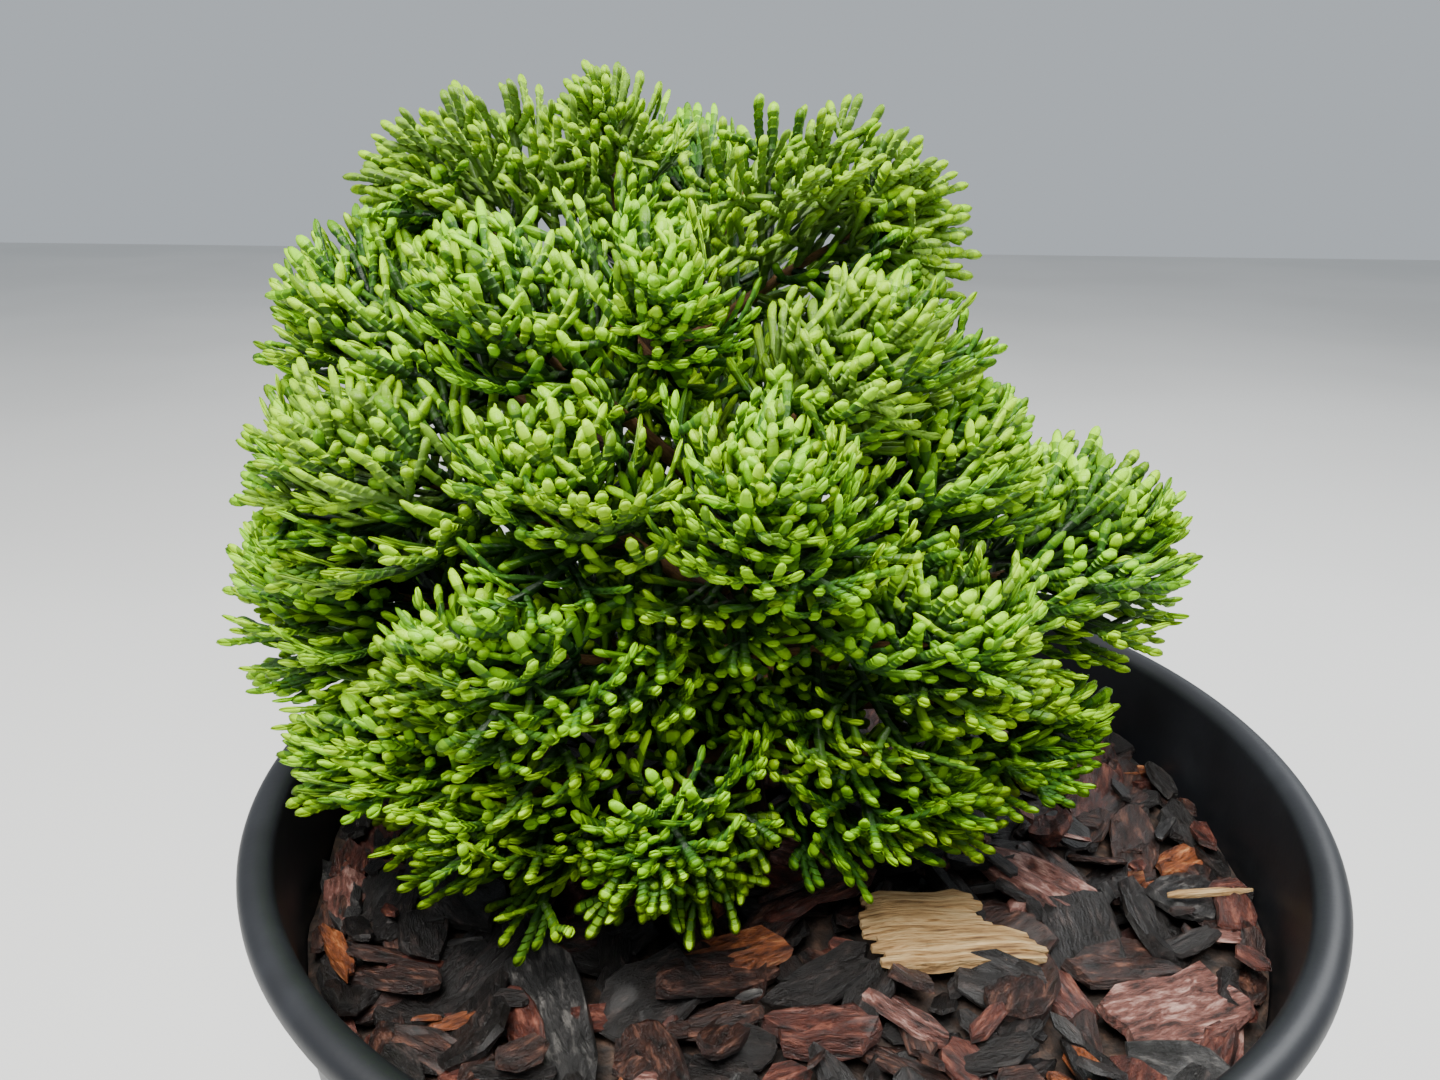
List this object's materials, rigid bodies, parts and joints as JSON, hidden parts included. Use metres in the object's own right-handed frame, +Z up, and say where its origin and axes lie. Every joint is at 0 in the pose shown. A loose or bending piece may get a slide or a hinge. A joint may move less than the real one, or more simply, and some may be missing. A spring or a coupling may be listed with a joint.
{
  "type": "potted conifer",
  "caption": "Small dwarf conifer with dense, flat foliage fans, leaning in a round plastic nursery pot topped with bark mulch.",
  "frame": {"origin": "centre of the pot's flat underside", "axes": "+Z up along the pot's axis; -Y towards the plant's front, where the foliage hangs low over the mulch; +X to the right seen from the front"},
  "size_m": [0.2, 0.2, 0.3165],
  "materials": {
    "pot_plastic": "satin black polypropylene",
    "bark_mulch": "damp dark bark chips",
    "bark": "matte, finely fissured orange-brown bark",
    "foliage": "glossy scale leaves, lime at the tips"
  },
  "bodies": {
    "root": {"pot": "pot_plastic", "bark_mulch": "bark_mulch", "trunk": "bark", "bough_shoulder_left": "bark", "bough_middle_left": "bark", "bough_middle_front_left": "bark", "bough_middle_right": "bark", "bough_middle_back_left": "bark", "bough_far_right": "bark", "bough_far_left": "bark", "bough_inner_left": "bark", "bough_low_left": "bark", "bough_low_front_left": "bark", "bough_low_right": "bark", "bough_low_back_left": "bark", "bough_low_back_right": "bark", "foliage_top_leaders": "foliage", "foliage_upper_left": "foliage", "foliage_upper_right": "foliage", "foliage_upper_back": "foliage", "foliage_shoulder_left": "foliage", "foliage_shoulder_front": "foliage", "foliage_shoulder_right": "foliage", "foliage_middle_left": "foliage", "foliage_middle_front_left": "foliage", "foliage_middle_front": "foliage", "foliage_middle_right": "foliage", "foliage_middle_back_left": "foliage", "foliage_middle_back": "foliage", "foliage_middle_back_right": "foliage", "foliage_far_right": "foliage", "foliage_far_left": "foliage", "foliage_inner_left": "foliage", "foliage_inner_right": "foliage", "foliage_low_left": "foliage", "foliage_low_front": "foliage", "foliage_low_front_left": "foliage", "foliage_low_front_right": "foliage", "foliage_low_right": "foliage", "foliage_low_back_left": "foliage", "foliage_low_back": "foliage", "foliage_low_back_right": "foliage", "foliage_top_right": "foliage", "foliage_shoulder_middle": "foliage", "foliage_low_middle": "foliage", "foliage_heart": "foliage"}
  },
  "joints": []
}
